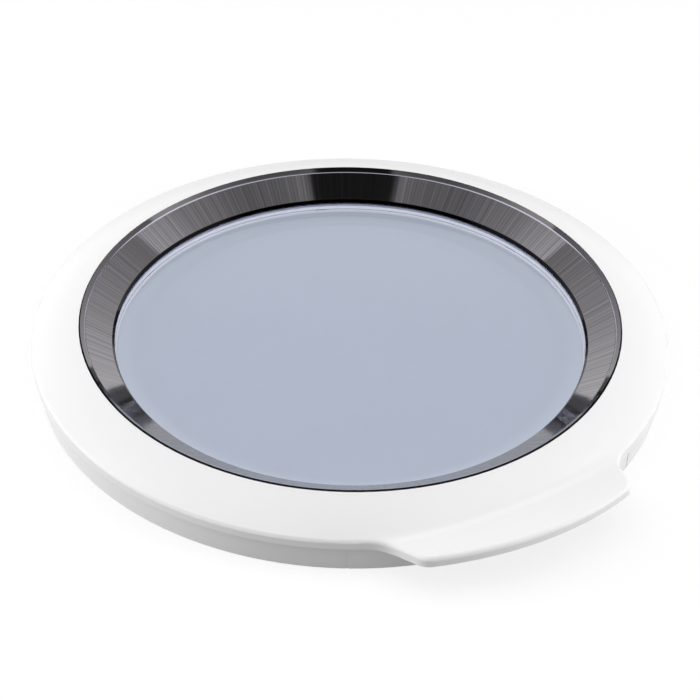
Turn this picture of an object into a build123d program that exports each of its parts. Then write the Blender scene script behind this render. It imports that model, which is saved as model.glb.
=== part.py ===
from build123d import *
import os
from math import asin, atan2, cos, degrees, hypot, radians, sin, sqrt, tan

# Front half of a round tumble-dryer door, millimetres.
# The ring's axis is Z, the back plane is z = 0 and the pull tab points along +X.

# Outer frame: face, rim and skirt
opening_r = 207.0        # opening that takes the trim ring
face_width = 36.2        # opening to the outside of the rim
face_h = 43.2            # back plane to the inner edge of the face
face_slope = 22.1        # fall of the face towards the rim, degrees
face_crown_r = 140.0     # radius of the face's slight crown
face_wall = 2.4          # least thickness of the face, measured along Z
rim_fillet = 3.0         # top edge of the rim and of the tab
rim_depth = 6.9          # height of the rim's outer wall
rim_overhang = 2.6       # the skirt's top lies this far inside the rim
skirt_lean = 2.0         # the skirt's foot lies this far inside its top
skirt_wall = 2.4
inner_wall = 2.6         # wall round the opening

# Pull tab, moulded in one with the frame
tab_reach = 35.2         # rim to the tip of the tab
tab_tip_r = 207.0        # radius of the tip's curve
tab_corner_angle = 18.2  # half angle to the tip's corners, degrees
tab_root_angle = 23.2    # half angle where the flanks reach the rim, degrees
tab_level_angle = 23.4   # angle at which the tab's top plane is level with the rim's edge, degrees
tab_corner_fillet = 14.0
tab_root_fillet = 30.0
tab_crease_fillet = 20.0  # soft valley between the face and the tab
tab_tilt = 13.0          # rise of the tab towards its tip, degrees
tab_thickness = 8.6
face_overrun = 8.0       # the face's curve is drawn on under the tab by this angle, degrees
tab_wall = 2.8
tab_rib_count = 7
tab_rib_pitch = 4.6      # degrees between the ribs under the tab

# Trim ring
trim_gap = 1.2           # round the trim in the frame's opening
trim_proud = 1.0         # the trim stands above the face by this much
trim_wall = 2.2
trim_width = 23.8        # outside to the lower edge of the cone
trim_drop = 15.9         # fall from the outside to that edge
trim_foot_lean = 1.7     # the trim's foot reaches inwards by this much below the edge
trim_lip_width = 3.2     # plain outer lip
trim_lip_drop = 2.4      # fall of that lip
trim_step = 0.7          # small step from the lip to the cone
post_r = 3.6             # posts that take the trim's screws
post_gap = 0.8           # between the posts and the trim's outer leg

# Seat for the window and the trim, inside the opening
seat_depth = 19.5        # inner edge of the face down to the shelf
shelf_wall = 2.5
shelf_setback = 3.7      # the shelf's edge lies this far outside the trim's clear opening
seat_wall_drop = 7.2     # the wall round the opening runs this far below the shelf
gusset_setback = 5.0     # the gussets stop this far short of the shelf's edge

# Window
flange_gap = 0.5         # between the window's flange and the trim's posts
flange_t = 2.5
window_t = 3.0
dish_depth = 7.8         # the floor lies this far below the flange
dish_wall_lean = 0.8     # the dish's wall leans inwards by this much
dish_corner_fillet = 1.5  # foot of that wall
dish_width = 22.3        # the floor's curved border
dish_border_rise = 0.9   # the border rises this far to the foot of the wall

# Screws that clamp the window between the trim and the shelf
screw_count = 6
screw_r = 1.6
screw_fit = 0.05         # round the screw in the trim's posts
screw_pass = 0.6         # round the screw in the shelf
screw_length = 12.0
screw_tip_room = 2.0     # left in the post beyond the screw's tip
screw_head_r = 4.0
screw_head_h = 2.6
screw_head_chamfer = 0.9

# Ribs and screw bosses behind the face
rib_count = 16
rib_wall = 2.0
rib_bottom_z = 15.0
boss_count = 8
boss_offset = 17.0       # opening to the middle of the bosses
boss_r = 5.0
boss_hole_r = 1.8
boss_hole_depth = 16.0
weld_depth = 0.4         # ribs and bosses run this far into the walls they meet

# Side-core lines on the skirt, either side of the tab
core_line_angle = 29.3
core_line_width = 1.8
core_line_depth = 0.35
core_line_stop = 1.0     # they end this far below the rim

tool_reach = 10.0        # cutting shapes run this far past what they cut
edge_slack = 0.01        # edges this near the rim's radius count as lying on it

# Radii and heights that follow from the values above
rim_r = opening_r + face_width
skirt_top_r = rim_r - rim_overhang
skirt_bottom_r = skirt_top_r - skirt_lean
tab_r = rim_r + tab_reach
trim_r = opening_r - trim_gap
trim_edge_r = trim_r - trim_width
trim_inner_r = trim_edge_r - trim_foot_lean
screw_circle_r = trim_r - trim_wall - post_gap - post_r
flange_r = screw_circle_r - post_r - flange_gap
shelf_r = trim_inner_r + shelf_setback
boss_circle_r = opening_r + boss_offset
rim_corner_z = face_h - face_width * tan(radians(face_slope))
rim_bottom_z = rim_corner_z - rim_depth
trim_top_z = face_h + trim_proud
shelf_top_z = face_h - seat_depth
shelf_bottom_z = shelf_top_z - shelf_wall
seat_wall_z = shelf_bottom_z - seat_wall_drop
flange_top_z = shelf_top_z + flange_t
rib_angle = 180.0 / rib_count
boss_angle = 180.0 / boss_count


def polar(radius, angle):
    return (radius * cos(radians(angle)), radius * sin(radians(angle)))


def spun(*edges):
    """A profile in radius and height, spun round the ring's axis."""
    return revolve(Plane.XZ * make_face(list(edges)), Axis.Z)


def around(piece, count, first_angle=0.0):
    """Copies of a piece spread evenly round the ring's axis."""
    return [Rot(0, 0, first_angle + 360.0 * k / count) * piece for k in range(count)]


def blade(inner_r, outer_r):
    """A thin upright plate along a radius, as tall as the part."""
    corner = (Align.MIN, Align.CENTER, Align.MIN)
    return Pos(inner_r, 0, 0) * Box(outer_r - inner_r, rib_wall, face_h, align=corner)


def post(circle_r, bottom_z, radius, height):
    """An upright cylinder on a circle round the ring's axis."""
    return Pos(circle_r, 0, bottom_z) * extrude(Circle(radius), height)


def face_arc():
    """The crowned face's section, from the opening past the rim."""
    chord = hypot(face_width, face_h - rim_corner_z)
    to_centre = sqrt(face_crown_r**2 - (chord / 2) ** 2)
    centre_r = opening_r + face_width / 2 - to_centre * sin(radians(face_slope))
    centre_z = (face_h + rim_corner_z) / 2 - to_centre * cos(radians(face_slope))
    start = degrees(atan2(face_h - centre_z, opening_r - centre_r))
    end = degrees(atan2(rim_corner_z - centre_z, rim_r - centre_r))
    return CenterArc((centre_r, centre_z), face_crown_r, start, end - start - face_overrun)


def under_face_z(radius):
    """Height of the straight underside of the face."""
    return face_h - face_wall - (radius - opening_r) * tan(radians(face_slope))


def tab_z(x):
    """Height of the tab's top plane."""
    level_x = rim_r * cos(radians(tab_level_angle))
    return rim_corner_z + (x - level_x) * tan(radians(tab_tilt))


def tab_outline(inset):
    """The ring and the tab seen from the front."""
    tip_centre = tab_r - tab_tip_r
    tip_angle = tab_corner_angle + degrees(asin(tip_centre / tab_tip_r * sin(radians(tab_corner_angle))))
    corner = (tip_centre + tab_tip_r * cos(radians(tip_angle)), tab_tip_r * sin(radians(tip_angle)))
    other_corner = (corner[0], -corner[1])
    root = polar(rim_r, tab_root_angle)
    other_root = polar(rim_r, -tab_root_angle)
    outline = make_face(
        [
            Line(root, corner),
            ThreePointArc(corner, (tab_r, 0), other_corner),
            Line(other_corner, other_root),
            ThreePointArc(other_root, (-rim_r, 0), root),
        ]
    )
    corners = outline.vertices().sort_by(Axis.X)[-2:]
    outline = fillet(corners, tab_corner_fillet)
    roots = [outline.vertices().sort_by_distance(point)[0] for point in (root, other_root)]
    outline = fillet(roots, tab_root_fillet)
    return offset(outline, -inset) if inset else outline


def tab_slab(upper, lower):
    """A wide slab that leans with the tab, between two depths below its top plane."""
    near_x = rim_r / 2
    far_x = tab_r + tool_reach
    section = Polyline(
        (near_x, tab_z(near_x) - lower),
        (far_x, tab_z(far_x) - lower),
        (far_x, tab_z(far_x) - upper),
        (near_x, tab_z(near_x) - upper),
        close=True,
    )
    return extrude(Plane.XZ * make_face(section), rim_r, both=True)


def front_surface():
    """A block topped by the crowned face and the tab's plane, with a soft valley between them."""
    section = face_arc()
    rest = Polyline(section @ 1, ((section @ 1).X, 0), (0, 0), (0, face_h), section @ 0)
    seam_away_from_tab = Rot(0, 0, 180)
    block = seam_away_from_tab * spun(section, rest) + tab_slab(0, face_h)
    crease = block.edges().filter_by(GeomType.BSPLINE).sort_by(SortBy.LENGTH)[-1]
    return fillet(crease, tab_crease_fillet)


def on_outline(edge):
    """Whether an edge lies on the outside of the rim or the tab."""
    points = [edge @ share for share in (0, 0.5, 1)]
    return min(hypot(point.X, point.Y) for point in points) > rim_r - edge_slack


def front_blank():
    """Face, rim and leaning tab as one solid down to the rim's underside, its outer edge rounded."""
    blank = front_surface() & Pos(0, 0, rim_bottom_z) * extrude(tab_outline(0), face_h)
    upper = [e for e in blank.edges() if e.bounding_box().min.Z > rim_bottom_z + rim_fillet / 2]
    blank = fillet([e for e in upper if on_outline(e)], rim_fillet)
    return blank - (tab_slab(tab_thickness, 2 * face_h) - extrude(Circle(rim_r), face_h))


def skirt_blank():
    section = Polyline(
        (0, 0),
        (skirt_bottom_r, 0),
        (skirt_top_r, rim_bottom_z),
        (skirt_top_r, rim_bottom_z + weld_depth),
        (0, rim_bottom_z + weld_depth),
        close=True,
    )
    return spun(section)


def inside_of_frame():
    """The space inside the frame's walls, open at the back and at the front."""
    channel_r = opening_r + inner_wall
    skirt_inside_r = skirt_top_r - skirt_wall
    section = Polyline(
        (channel_r, under_face_z(channel_r)),
        (skirt_inside_r, under_face_z(skirt_inside_r)),
        (skirt_inside_r, rim_bottom_z),
        (skirt_bottom_r - skirt_wall, 0),
        (skirt_bottom_r - skirt_wall, -tool_reach),
        (0, -tool_reach),
        (0, face_h + tool_reach),
        (opening_r, face_h + tool_reach),
        (opening_r, shelf_top_z),
        (shelf_r, shelf_top_z),
        (shelf_r, shelf_bottom_z),
        (opening_r, shelf_bottom_z),
        (opening_r, seat_wall_z),
        (channel_r, seat_wall_z),
        close=True,
    )
    return spun(section)


def channel_blank(bottom_z):
    """The channel behind the face, from a height up and just into its walls."""
    inner_r = opening_r + inner_wall - weld_depth
    outer_top_r = skirt_top_r - skirt_wall + weld_depth
    outer_bottom_r = outer_top_r - skirt_lean * (1 - bottom_z / rim_bottom_z)
    section = Polyline(
        (inner_r, bottom_z),
        (outer_bottom_r, bottom_z),
        (outer_top_r, rim_bottom_z),
        (outer_top_r, under_face_z(outer_top_r) + weld_depth),
        (inner_r, under_face_z(inner_r) + weld_depth),
        close=True,
    )
    return spun(section)


def ribs_behind_face():
    """Straight ribs across the channel, cut to its section."""
    blades = around(blade(opening_r, rim_r), rib_count, rib_angle)
    return Compound(blades) & channel_blank(rib_bottom_z)


def bosses():
    """Posts for the screws that hold the inner half of the door."""
    posts = around(post(boss_circle_r, 0, boss_r, face_h), boss_count, boss_angle)
    return Compound(posts) & channel_blank(0)


def boss_holes():
    return around(post(boss_circle_r, 0, boss_hole_r, boss_hole_depth), boss_count, boss_angle)


def gussets():
    """Webs that brace the shelf against the wall round the opening."""
    web = Polyline(
        (opening_r + weld_depth, seat_wall_z),
        (opening_r + weld_depth, shelf_bottom_z + weld_depth),
        (shelf_r + gusset_setback, shelf_bottom_z + weld_depth),
        close=True,
    )
    return around(extrude(Plane.XZ * make_face(web), rib_wall / 2, both=True), rib_count, rib_angle)


def shelf_holes():
    return around(post(screw_circle_r, 0, screw_r + screw_pass, face_h), screw_count)


def tab_pocket():
    """The hollow under the tab, with ribs left standing in it."""
    hollow = tab_outline(tab_wall) - Circle(rim_r)
    pocket = extrude(hollow, face_h) & tab_slab(tab_wall, tab_thickness + face_h)
    first = -tab_rib_pitch * (tab_rib_count - 1) / 2
    ribs = [Rot(0, 0, first + tab_rib_pitch * k) * blade(opening_r, tab_r) for k in range(tab_rib_count)]
    return pocket - ribs


def core_lines():
    """Shallow grooves that a mould's side core leaves on the skirt."""
    lean = degrees(atan2(skirt_lean, rim_bottom_z))
    corner = (Align.MIN, Align.CENTER, Align.MIN)
    bar = Box(tool_reach, core_line_width, rim_bottom_z - core_line_stop, align=corner)
    groove = Pos(skirt_bottom_r - core_line_depth, 0, 0) * Rot(0, lean, 0) * bar
    return [Rot(0, 0, side * core_line_angle) * groove for side in (-1, 1)]


def outer_frame():
    frame = front_blank() + skirt_blank()
    frame -= inside_of_frame()
    frame += [ribs_behind_face(), bosses()] + gussets()
    frame -= boss_holes() + shelf_holes() + core_lines()
    frame -= tab_pocket()
    return frame


def trim_ring():
    """Dark ring with a plain lip, a step, a cone down to the window and posts for its screws."""
    lip_r = trim_r - trim_lip_width
    lip_z = trim_top_z - trim_lip_drop
    step_r = lip_r - trim_step / 2
    step_z = lip_z - trim_step
    edge_z = trim_top_z - trim_drop
    slope = (step_z - edge_z) / (step_r - trim_edge_r)
    back_z = edge_z - trim_wall * sqrt(1 + slope**2)
    leg_r = trim_r - trim_wall
    section = Polyline(
        (trim_r, trim_top_z),
        (lip_r, lip_z),
        (step_r, step_z),
        (trim_edge_r, edge_z),
        (trim_inner_r, flange_top_z),
        (trim_edge_r + (flange_top_z - back_z) / slope, flange_top_z),
        (leg_r, back_z + slope * (leg_r - trim_edge_r)),
        (leg_r, shelf_top_z),
        (trim_r, shelf_top_z),
        close=True,
    )
    post_top_z = (edge_z + back_z) / 2 + slope * (screw_circle_r - post_r - trim_edge_r)
    hole_depth = screw_length - shelf_wall + screw_tip_room
    posts = around(post(screw_circle_r, shelf_top_z, post_r, post_top_z - shelf_top_z), screw_count)
    holes = around(post(screw_circle_r, shelf_top_z, screw_r + screw_fit, hole_depth), screw_count)
    return spun(section) + posts - holes


def window_dish():
    """Tinted pane with a flat flange, a steep wall and a floor that curves up at its border."""
    floor_r = trim_inner_r - dish_width
    floor_z = flange_top_z - dish_depth
    foot_r = trim_inner_r - dish_wall_lean
    foot_z = floor_z + dish_border_rise
    border = TangentArc((floor_r, floor_z), (foot_r, foot_z), tangent=(1, 0))
    rest = Polyline(
        border @ 1,
        (trim_inner_r, flange_top_z),
        (flange_r, flange_top_z),
        (flange_r, shelf_top_z),
        (trim_inner_r + window_t, shelf_top_z),
        (foot_r + window_t, foot_z),
        (foot_r, foot_z - window_t),
        (floor_r, floor_z - window_t),
        (0, floor_z - window_t),
        (0, floor_z),
        border @ 0,
    )
    profile = make_face([border, rest])
    foot = profile.vertices().sort_by_distance((foot_r, foot_z))[0]
    profile = fillet(foot, dish_corner_fillet)
    return revolve(Plane.XZ * profile, Axis.Z)


def trim_screws():
    """Pan-head screws driven up through the shelf into the trim's posts."""
    head = extrude(Circle(screw_head_r), -screw_head_h)
    head = chamfer(head.edges().sort_by(Axis.Z)[0], screw_head_chamfer)
    screw = head + extrude(Circle(screw_r), screw_length)
    return Compound(around(Pos(screw_circle_r, 0, shelf_bottom_z) * screw, screw_count))


nodes = {
    "outer_frame": outer_frame,
    "trim_ring": trim_ring,
    "window_dish": window_dish,
    "trim_screws": trim_screws,
}
os.makedirs("parts", exist_ok=True)
for name, make in nodes.items():
    export_step(make(), f"parts/{name}.step")
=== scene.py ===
import math
import bmesh
import bpy
from mathutils import Matrix, Vector


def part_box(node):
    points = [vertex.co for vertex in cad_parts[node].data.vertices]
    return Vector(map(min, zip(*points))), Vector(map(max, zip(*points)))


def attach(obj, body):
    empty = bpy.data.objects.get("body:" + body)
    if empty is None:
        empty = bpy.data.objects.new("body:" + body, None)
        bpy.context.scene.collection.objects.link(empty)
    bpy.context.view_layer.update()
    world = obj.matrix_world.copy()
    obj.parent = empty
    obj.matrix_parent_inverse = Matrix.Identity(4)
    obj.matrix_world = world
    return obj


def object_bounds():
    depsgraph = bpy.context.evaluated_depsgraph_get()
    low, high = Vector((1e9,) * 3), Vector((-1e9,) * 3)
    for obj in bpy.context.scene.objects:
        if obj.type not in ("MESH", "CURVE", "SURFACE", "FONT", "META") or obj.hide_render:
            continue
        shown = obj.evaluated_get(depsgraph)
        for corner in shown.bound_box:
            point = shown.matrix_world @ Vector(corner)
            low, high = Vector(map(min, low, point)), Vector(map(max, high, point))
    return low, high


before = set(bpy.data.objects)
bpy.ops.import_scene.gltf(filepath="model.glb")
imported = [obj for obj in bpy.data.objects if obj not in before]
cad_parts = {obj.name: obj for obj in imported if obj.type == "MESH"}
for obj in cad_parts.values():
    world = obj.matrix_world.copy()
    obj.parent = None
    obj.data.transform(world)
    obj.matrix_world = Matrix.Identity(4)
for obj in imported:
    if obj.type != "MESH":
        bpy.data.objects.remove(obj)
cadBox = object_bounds()
body = "root"  # nothing on the door half moves
print("stage 1: frame loaded with", sorted(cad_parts))


# shared node helpers

def addNode(tree, kind, **values):
    node = tree.nodes.new(kind)
    for name, value in values.items():
        setattr(node, name, value)
    return node


def setInputs(node, **values):
    for name, value in values.items():
        node.inputs[name.replace("_", " ")].default_value = value
    return node


def feed(tree, socket, value):
    if isinstance(value, bpy.types.NodeSocket):
        tree.links.new(value, socket)
    elif isinstance(value, tuple):
        socket.default_value = (*value, 1.0)  # a colour
    else:
        socket.default_value = value


def grey(level):
    return (level, level, level)


def mathNode(tree, operation, *values):
    node = addNode(tree, "ShaderNodeMath", operation=operation)
    for socket, value in zip(node.inputs, values):
        feed(tree, socket, value)
    return node.outputs[0]


def ramp(tree, source, stops):
    node = addNode(tree, "ShaderNodeValToRGB")
    elements = node.color_ramp.elements
    while len(elements) < len(stops):
        elements.new(0.5)  # its place is set below
    for element, (place, level) in zip(elements, stops):
        element.position = place
        element.color = (*grey(level), 1.0)
    tree.links.new(source, node.inputs["Fac"])
    return node.outputs["Color"]


def dimmed(tree, colour, level):
    node = addNode(tree, "ShaderNodeVectorMath", operation="SCALE")
    tree.links.new(colour, node.inputs[0])
    tree.links.new(level, node.inputs["Scale"])
    return node.outputs[0]


def smoothMask(tree, source, edges):  # 0 at the first edge, 1 at the second
    node = addNode(tree, "ShaderNodeMapRange", interpolation_type="SMOOTHSTEP")
    tree.links.new(source, node.inputs["Value"])
    for name, edge in zip(("From Min", "From Max"), edges):
        feed(tree, node.inputs[name], edge)
    return node.outputs["Result"]


mixSockets = {"first": 6, "second": 7, "result": 2}  # a Mix node's colour sockets


def mixColours(tree, share, first, second):
    node = addNode(tree, "ShaderNodeMix", data_type="RGBA")
    feed(tree, node.inputs["Factor"], share)
    feed(tree, node.inputs[mixSockets["first"]], first)
    feed(tree, node.inputs[mixSockets["second"]], second)
    return node.outputs[mixSockets["result"]]


def newMaterial(name):
    material = bpy.data.materials.new(name)
    material.use_nodes = True
    tree = material.node_tree
    tree.nodes.clear()
    shader = addNode(tree, "ShaderNodeBsdfPrincipled")
    output = addNode(tree, "ShaderNodeOutputMaterial")
    tree.links.new(shader.outputs["BSDF"], output.inputs["Surface"])
    return material, tree, shader


def assign(node, material):
    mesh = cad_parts[node].data
    mesh.materials.clear()
    mesh.materials.append(material)


def newGroup(name, inputs, outputs):
    group = bpy.data.node_groups.new(name, "ShaderNodeTree")
    for socketName, kind in inputs:
        group.interface.new_socket(socketName, in_out="INPUT", socket_type=kind)
    for socketName, kind in outputs:
        group.interface.new_socket(socketName, in_out="OUTPUT", socket_type=kind)
    return group, addNode(group, "NodeGroupInput"), addNode(group, "NodeGroupOutput")


def placeGroup(tree, group, **values):
    node = addNode(tree, "ShaderNodeGroup", node_tree=group)
    return setInputs(node, **values)


# moulded surface: faint mottling of the colour, orange peel and a varied gloss

mouldedSurface = {
    "cloudScale": 14.0,
    "cloudDetail": 4.0,
    "cloudRoughness": 0.55,
    "cloudSpan": (0.3, 0.7),     # most of the noise lies in this span
    "peelDetail": 2.0,
    "peelRoughness": 0.5,
}


def makeMouldedGroup():
    group, given, made = newGroup(
        "mouldedSurface",
        [
            ("Colour", "NodeSocketColor"),
            ("Mottling", "NodeSocketFloat"),
            ("Gloss Low", "NodeSocketFloat"),
            ("Gloss High", "NodeSocketFloat"),
            ("Peel Scale", "NodeSocketFloat"),
        ],
        [("Colour", "NodeSocketColor"), ("Roughness", "NodeSocketFloat"), ("Height", "NodeSocketFloat")],
    )
    place = addNode(group, "ShaderNodeTexCoord").outputs["Object"]
    cloud = setInputs(
        addNode(group, "ShaderNodeTexNoise"),
        Scale=mouldedSurface["cloudScale"],
        Detail=mouldedSurface["cloudDetail"],
        Roughness=mouldedSurface["cloudRoughness"],
    )
    peel = setInputs(
        addNode(group, "ShaderNodeTexNoise"),
        Detail=mouldedSurface["peelDetail"],
        Roughness=mouldedSurface["peelRoughness"],
    )
    group.links.new(place, cloud.inputs["Vector"])
    group.links.new(place, peel.inputs["Vector"])
    group.links.new(given.outputs["Peel Scale"], peel.inputs["Scale"])
    dim = mathNode(group, "MULTIPLY", cloud.outputs["Fac"], given.outputs["Mottling"])
    level = mathNode(group, "SUBTRACT", 1.0, dim)
    low, high = mouldedSurface["cloudSpan"]
    gloss = setInputs(addNode(group, "ShaderNodeMapRange"), From_Min=low, From_Max=high)
    group.links.new(cloud.outputs["Fac"], gloss.inputs["Value"])
    group.links.new(given.outputs["Gloss Low"], gloss.inputs["To Min"])
    group.links.new(given.outputs["Gloss High"], gloss.inputs["To Max"])
    group.links.new(dimmed(group, given.outputs["Colour"], level), made.inputs["Colour"])
    group.links.new(gloss.outputs["Result"], made.inputs["Roughness"])
    group.links.new(peel.outputs["Fac"], made.inputs["Height"])
    return group


mouldedGroup = makeMouldedGroup()


def dressMoulded(tree, shader, look):
    surface = placeGroup(
        tree,
        mouldedGroup,
        Colour=(*look["colour"], 1.0),
        Mottling=look["mottling"],
        Gloss_Low=look["glossLow"],
        Gloss_High=look["glossHigh"],
        Peel_Scale=look["peelScale"],
    )
    bump = addNode(tree, "ShaderNodeBump")
    setInputs(bump, Strength=look["peelStrength"], Distance=look["peelDepth"])
    tree.links.new(surface.outputs["Height"], bump.inputs["Height"])
    tree.links.new(surface.outputs["Colour"], shader.inputs["Base Color"])
    tree.links.new(surface.outputs["Roughness"], shader.inputs["Roughness"])
    tree.links.new(bump.outputs["Normal"], shader.inputs["Normal"])
    return surface.outputs["Colour"]


# ring colours: another colour in a ring round the door's axis; the rings hold painted shade, a painted
# highlight and painted light as well as a plain colour

noInnerEdge = (0.0, 0.01)        # radii for a ring that reaches in to the axis
noOuterEdge = (0.30, 0.31)       # and for one that reaches out past the part


def makeRingGroup():
    group, given, made = newGroup(
        "ringTintAndLight",
        [
            ("Colour", "NodeSocketColor"),
            ("Tint", "NodeSocketColor"),
            ("Start", "NodeSocketFloat"),
            ("Full", "NodeSocketFloat"),
            ("Wane", "NodeSocketFloat"),
            ("End", "NodeSocketFloat"),
        ],
        [("Colour", "NodeSocketColor")],
    )
    place = addNode(group, "ShaderNodeSeparateXYZ")
    group.links.new(addNode(group, "ShaderNodeTexCoord").outputs["Object"], place.inputs[0])
    flat = addNode(group, "ShaderNodeCombineXYZ")
    group.links.new(place.outputs["X"], flat.inputs["X"])
    group.links.new(place.outputs["Y"], flat.inputs["Y"])
    length = addNode(group, "ShaderNodeVectorMath", operation="LENGTH")
    group.links.new(flat.outputs[0], length.inputs[0])
    radius = length.outputs["Value"]
    rise = smoothMask(group, radius, (given.outputs["Start"], given.outputs["Full"]))
    fall = smoothMask(group, radius, (given.outputs["End"], given.outputs["Wane"]))
    ring = mathNode(group, "MULTIPLY", rise, fall)
    colour = mixColours(group, ring, given.outputs["Colour"], given.outputs["Tint"])
    group.links.new(colour, made.inputs["Colour"])
    return group


ringGroup = makeRingGroup()


def tintAndLightRings(tree, shader, colour, rings):
    for ring in rings:
        start, full, wane, end = ring["span"]
        node = placeGroup(
            tree,
            ringGroup,
            Tint=(*ring["tintAndLight"], 1.0),
            Start=start,
            Full=full,
            Wane=wane,
            End=end,
        )
        tree.links.new(colour, node.inputs["Colour"])
        colour = node.outputs["Colour"]
    tree.links.new(colour, shader.inputs["Base Color"])


# white frame

whiteFrame = {
    "colour": (0.88, 0.875, 0.885),
    "mottling": 0.012,
    "glossLow": 0.24,
    "glossHigh": 0.27,
    "peelScale": 700.0,
    "peelStrength": 0.05,
    "peelDepth": 0.0002,
    "ior": 1.5,
}


def finishFrame():
    material, tree, shader = newMaterial("whitePlastic")
    dressMoulded(tree, shader, whiteFrame)
    setInputs(shader, IOR=whiteFrame["ior"])
    assign("outer_frame", material)


# dark metallised trim

darkTrim = {
    "colour": (0.176, 0.169, 0.180),
    "mottling": 0.05,
    "glossLow": 0.045,
    "glossHigh": 0.075,
    "peelScale": 500.0,
    "peelStrength": 0.02,
    "peelDepth": 0.0002,
    "rings": [                           # radii where each one starts, is full, wanes and ends
        {"tintAndLight": (0.105, 0.100, 0.106), "span": (0.2026, 0.2028, *noOuterEdge)},       # painted shade: the lip is darkened so it mirrors less of the softboxes
        {"tintAndLight": (0.38, 0.38, 0.45), "span": (0.2021, 0.2023, 0.2026, 0.2028)},        # painted highlight: a pale line along the step
        {"tintAndLight": (0.008, 0.008, 0.010), "span": (*noInnerEdge, 0.1820, 0.1823)},       # black foot
    ],
}


def finishTrim():
    material, tree, shader = newMaterial("darkTrim")
    colour = dressMoulded(tree, shader, darkTrim)
    tintAndLightRings(tree, shader, colour, darkTrim["rings"])
    setInputs(shader, Metallic=1.0)
    assign("trim_ring", material)


# fine reeding, a thin skin on the trim's cone, with painted shade along its grooves

reeding = {
    "count": 440,
    "height": 0.00002,           # ridge over groove
    "proud": 0.00014,            # the skin stands off the faceted cone
    "sink": 0.0003,              # the skin's back lies this far below the cone
    "lipWidth": 0.0038,          # from the trim's outer edge to the top of the cone
    "lipDrop": 0.00326,          # from the trim's highest point to the top of the cone
    "coneWidth": 0.0195,
    "coneFall": 0.01232,
    "steps": 6,
    "paintedGrooveShade": 0.80,
    "grooveFull": 0.9,           # height of the wave at which the painted shade is full
    "streaks": 60.0,             # uneven streaks along the reeds, per radian
    "streakDetail": 2.0,
    "streakSpan": (0.3, 0.7),    # most of the noise lies in this span
    "streakDark": 0.80,
    "streakLight": 1.14,
}


def finishReeds():
    material, tree, shader = newMaterial("reededTrim")
    colour = dressMoulded(tree, shader, darkTrim)
    setInputs(shader, Metallic=1.0)
    place = addNode(tree, "ShaderNodeSeparateXYZ")
    tree.links.new(addNode(tree, "ShaderNodeTexCoord").outputs["Object"], place.inputs[0])
    turn = mathNode(tree, "ARCTAN2", place.outputs["Y"], place.outputs["X"])
    wave = mathNode(tree, "COSINE", mathNode(tree, "MULTIPLY", turn, float(reeding["count"])))
    # painted shade: the colour is darkened along each groove of the reeding
    paintedGrooves = ramp(tree, wave, [(0.0, 1.0), (reeding["grooveFull"], reeding["paintedGrooveShade"])])
    streaks = addNode(tree, "ShaderNodeTexNoise", noise_dimensions="1D")
    setInputs(streaks, Scale=reeding["streaks"], Detail=reeding["streakDetail"])
    tree.links.new(turn, streaks.inputs["W"])
    low, high = reeding["streakSpan"]
    uneven = addNode(tree, "ShaderNodeMapRange")
    setInputs(uneven, From_Min=low, From_Max=high)
    setInputs(uneven, To_Min=reeding["streakDark"], To_Max=reeding["streakLight"])
    tree.links.new(streaks.outputs["Fac"], uneven.inputs["Value"])
    level = mathNode(tree, "MULTIPLY", paintedGrooves, uneven.outputs["Result"])
    tree.links.new(dimmed(tree, colour, level), shader.inputs["Base Color"])
    return material


def addRing(mesh, section):  # one vertex for each radius and height, spread round the axis
    ring = []
    for side, (r, z) in enumerate(section):
        angle = 2 * math.pi * side / len(section)
        ring.append(mesh.verts.new((r * math.cos(angle), r * math.sin(angle), z)))
    return ring


def makeReeds(material):
    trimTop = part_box("trim_ring")[1]
    outer = Vector((trimTop.x - reeding["lipWidth"], trimTop.z - reeding["lipDrop"]))
    fall = Vector((reeding["coneWidth"], reeding["coneFall"]))
    inner = outer - fall
    normal = Vector((-fall.y, fall.x)).normalized()
    sides = 2 * reeding["count"]  # a ridge and a groove for each reed
    mesh = bmesh.new()
    front = []
    for step in range(reeding["steps"] + 1):
        onCone = inner + fall * (step / reeding["steps"])
        ridge = reeding["height"] if 0 < step < reeding["steps"] else 0.0
        section = [onCone + normal * (reeding["proud"] + ridge * (side % 2)) for side in range(sides)]
        front.append(addRing(mesh, section))
    sunk = Vector((0.0, reeding["sink"]))
    back = [addRing(mesh, [edge - sunk] * sides) for edge in (outer, inner)]
    loops = front + back
    for lower, upper in zip(loops, loops[1:] + loops[:1]):
        for side in range(sides):
            after = (side + 1) % sides
            quad = mesh.faces.new((lower[side], lower[after], upper[after], upper[side]))
            quad.smooth = True
    for ring in (front[0], front[-1]):
        for side in range(sides):
            mesh.edges.get((ring[side - 1], ring[side])).smooth = False
    bmesh.ops.recalc_face_normals(mesh, faces=mesh.faces)
    data = bpy.data.meshes.new("trimReeds")
    mesh.to_mesh(data)
    mesh.free()
    data.materials.append(material)
    reeds = bpy.data.objects.new("trimReeds", data)
    bpy.context.scene.collection.objects.link(reeds)
    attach(reeds, body)


# tinted window

tintedWindow = {
    "colour": (0.47, 0.52, 0.63),
    "mottling": 0.03,
    "glossLow": 0.02,
    "glossHigh": 0.05,
    "peelScale": 60.0,
    "peelStrength": 0.02,
    "peelDepth": 0.0002,
    "rings": [
        {"tintAndLight": (0.50, 0.55, 0.66), "span": (0.160, 0.178, *noOuterEdge)},      # painted light: the border is painted paler, in place of the brighter light along the window's edge
        {"tintAndLight": (0.74, 0.77, 0.90), "span": (0.1785, 0.1797, *noOuterEdge)},    # painted light: the wall and flange are painted paler, so the frame seen through them looks lit
    ],
    "ior": 1.49,
}


def finishWindow():
    material, tree, shader = newMaterial("tintedWindow")
    colour = dressMoulded(tree, shader, tintedWindow)
    tintAndLightRings(tree, shader, colour, tintedWindow["rings"])
    setInputs(shader, IOR=tintedWindow["ior"], Transmission_Weight=1.0)
    assign("window_dish", material)


# zinc screws

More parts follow.
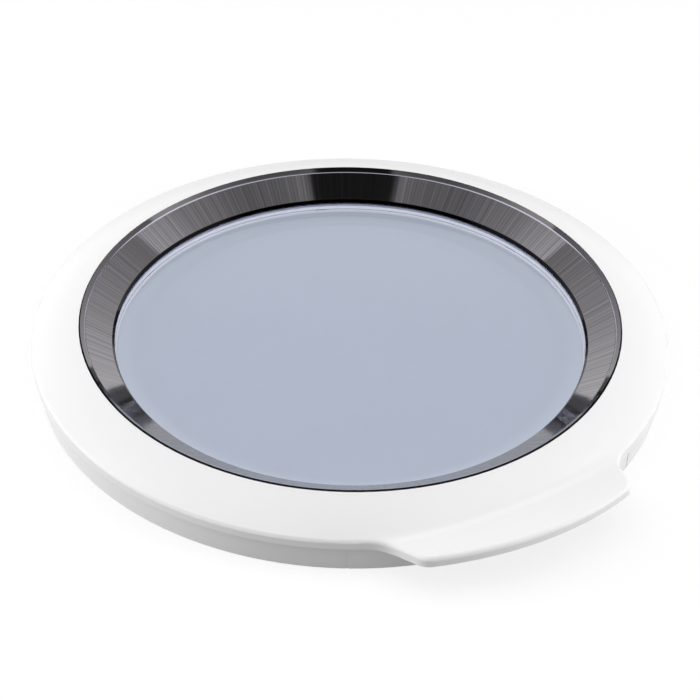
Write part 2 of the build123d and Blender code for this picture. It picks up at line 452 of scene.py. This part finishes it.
zincScrew = {
    "colour": (0.62, 0.62, 0.6),
    "mottling": 0.15,
    "glossLow": 0.25,
    "glossHigh": 0.4,
    "peelScale": 2500.0,
    "peelStrength": 0.1,
    "peelDepth": 0.0001,
}


def finishScrews():
    material, tree, shader = newMaterial("zincScrew")
    dressMoulded(tree, shader, zincScrew)
    setInputs(shader, Metallic=1.0)
    assign("trim_screws", material)


finishFrame()
finishTrim()
makeReeds(finishReeds())
finishWindow()
finishScrews()
print("stage 2: finishes assigned")


# camera, and directions as it sees them

view = {
    "target": (0.0, 0.0, 0.0436),
    "azimuth": -29.5,            # direction from the ring's axis to the camera
    "elevation": 36.4924,
    "distance": 1.9851,
    "dip": 0.7513,               # the lens points this far below the target
    "roll": 1.089,
    "lens": 133.714,             # lens and sensor in millimetres
    "sensor": 36.0,
}


def toView(x, y, z):  # x to the camera's right, y away from it
    turn = Matrix.Rotation(math.radians(view["azimuth"] + 90), 4, "Z")
    return turn @ Vector((x, y, z))


def makeCamera():
    data = bpy.data.cameras.new("camera")
    data.lens = view["lens"]
    data.sensor_width = view["sensor"]
    camera = bpy.data.objects.new("camera", data)
    bpy.context.scene.collection.objects.link(camera)
    azimuth = math.radians(view["azimuth"])
    elevation = math.radians(view["elevation"])
    away = Vector((
        math.cos(elevation) * math.cos(azimuth),
        math.cos(elevation) * math.sin(azimuth),
        math.sin(elevation),
    ))
    place = Vector(view["target"]) + away * view["distance"]
    facing = (-away).to_track_quat("-Z", "Y").to_matrix().to_4x4()
    dip = Matrix.Rotation(math.radians(-view["dip"]), 4, "X")
    roll = Matrix.Rotation(math.radians(view["roll"]), 4, "Z")
    camera.matrix_world = Matrix.Translation(place) @ facing @ dip @ roll
    bpy.context.scene.camera = camera


# floor

floorLook = {
    "size": 12.0,
    "drop": 0.0002,              # under the skirt's edge
    "colour": 0.26,
    "lift": 0.76,                # with this glow the lit floor looks plain white
}


def makeFloor():
    half = floorLook["size"] / 2
    data = bpy.data.meshes.new("floor")
    corners = [(-half, -half, 0), (half, -half, 0), (half, half, 0), (-half, half, 0)]
    data.from_pydata(corners, [], [(0, 1, 2, 3)])
    floor = bpy.data.objects.new("floor", data)
    floor.location.z = cadBox[0][2] - floorLook["drop"]
    bpy.context.scene.collection.objects.link(floor)
    material = bpy.data.materials.new("paleFloor")
    material.use_nodes = True
    tree = material.node_tree
    tree.nodes.clear()
    diffuse = addNode(tree, "ShaderNodeBsdfDiffuse")
    feed(tree, diffuse.inputs["Color"], grey(floorLook["colour"]))
    glow = addNode(tree, "ShaderNodeEmission")
    path = addNode(tree, "ShaderNodeLightPath")
    seen = mathNode(tree, "MAXIMUM", path.outputs["Is Camera Ray"], path.outputs["Is Glossy Ray"])
    seen = mathNode(tree, "MAXIMUM", seen, path.outputs["Is Transmission Ray"])
    tree.links.new(mathNode(tree, "MULTIPLY", seen, floorLook["lift"]), glow.inputs["Strength"])
    both = addNode(tree, "ShaderNodeAddShader")
    output = addNode(tree, "ShaderNodeOutputMaterial")
    tree.links.new(diffuse.outputs[0], both.inputs[0])
    tree.links.new(glow.outputs[0], both.inputs[1])
    tree.links.new(both.outputs[0], output.inputs["Surface"])
    data.materials.append(material)


# studio: a pale room, with the softboxes, back wall and dark camera side that shiny surfaces mirror
# a place is how far a direction of length 1 points up, sideways or near, which is towards the camera

studio = {
    "roomLevel": 0.465,
    "softboxEdge": (0.695, 0.705),       # the softboxes hang above this height
    "softboxes": [                       # sideways, level
        (0.0, 0.05), (0.15, 0.05), (0.175, 0.8), (0.25, 0.6), (0.39, 0.56), (0.54, 1.0), (0.64, 2.1),
    ],
    "walls": [(0.0, 1.6), (0.25, 1.5), (0.47, 1.15), (0.70, 0.75)],      # height, level
    "backWall": [                        # height, level
        (0.5, 1.5), (0.56, 1.4), (0.60, 1.0), (0.64, 0.9), (0.665, 2.0), (0.69, 4.5), (0.85, 0.6),
    ],
    "backWallSide": (0.35, 0.25),        # no back wall past the first, all of it inside the second
    "backWallNear": (-0.20, -0.40),      # no back wall nearer than the first
    "cameraSide": (0.45, 0.25),          # dark nearer than the first, pale past the second
    "cameraSideTop": (0.40, 0.25),       # and pale below the second of these heights
    "cameraSideLevel": 0.06,
}


def along(tree, direction, axis):
    node = addNode(tree, "ShaderNodeVectorMath", operation="DOT_PRODUCT")
    node.inputs[1].default_value = axis
    tree.links.new(direction, node.inputs[0])
    return node.outputs["Value"]


def mirroredRoom(tree, direction):
    height = along(tree, direction, (0.0, 0.0, 1.0))
    sideways = mathNode(tree, "ABSOLUTE", along(tree, direction, toView(1.0, 0.0, 0.0)))
    near = along(tree, direction, toView(0.0, -1.0, 0.0))
    softboxes = ramp(tree, sideways, studio["softboxes"])
    walls = ramp(tree, height, studio["walls"])
    room = mixColours(tree, smoothMask(tree, height, studio["softboxEdge"]), walls, softboxes)
    behind = mathNode(
        tree,
        "MULTIPLY",
        smoothMask(tree, sideways, studio["backWallSide"]),
        smoothMask(tree, near, studio["backWallNear"]),
    )
    room = mixColours(tree, behind, room, ramp(tree, height, studio["backWall"]))
    pale = mathNode(
        tree,
        "MAXIMUM",
        smoothMask(tree, near, studio["cameraSide"]),
        smoothMask(tree, height, studio["cameraSideTop"]),
    )
    return mixColours(tree, pale, grey(studio["cameraSideLevel"]), room)


def makeWorld():
    world = bpy.data.worlds.new("studioRoom")
    world.use_nodes = True
    bpy.context.scene.world = world
    tree = world.node_tree
    tree.nodes.clear()
    direction = addNode(tree, "ShaderNodeTexCoord").outputs["Generated"]
    path = addNode(tree, "ShaderNodeLightPath")
    mirrored = mirroredRoom(tree, direction)
    lit = mixColours(tree, path.outputs["Is Glossy Ray"], grey(studio["roomLevel"]), mirrored)
    seen = mathNode(tree, "MAXIMUM", path.outputs["Is Camera Ray"], path.outputs["Is Transmission Ray"])
    background = addNode(tree, "ShaderNodeBackground")
    tree.links.new(mixColours(tree, seen, lit, grey(1.0)), background.inputs["Color"])
    output = addNode(tree, "ShaderNodeOutputWorld")
    tree.links.new(background.outputs[0], output.inputs["Surface"])


lamps = {
    "topLeft": {"place": (-0.9, -0.3, 2.0), "size": 1.6, "power": 9.0},
    "topRight": {"place": (0.9, -0.3, 2.0), "size": 1.6, "power": 9.0},
    "sideLeft": {"place": (-2.0, -0.15, 0.45), "size": 1.2, "power": 25.0},
    "sideRight": {"place": (2.0, -0.35, 0.45), "size": 1.2, "power": 24.0},
}


def makeLamps():
    target = Vector(view["target"])
    for name, lamp in lamps.items():
        data = bpy.data.lights.new(name, "AREA")
        data.shape = "SQUARE"
        data.size = lamp["size"]
        data.energy = lamp["power"]
        light = bpy.data.objects.new(name, data)
        light.location = toView(*lamp["place"])
        light.rotation_euler = (target - light.location).to_track_quat("-Z", "Y").to_euler()
        light.visible_glossy = False  # shiny surfaces mirror the room instead
        bpy.context.scene.collection.objects.link(light)


makeFloor()
makeWorld()
makeLamps()
makeCamera()
bpy.context.scene.view_settings.view_transform = "Standard"
print("stage 3: floor, lights and camera set")

bpy.context.view_layer.update()
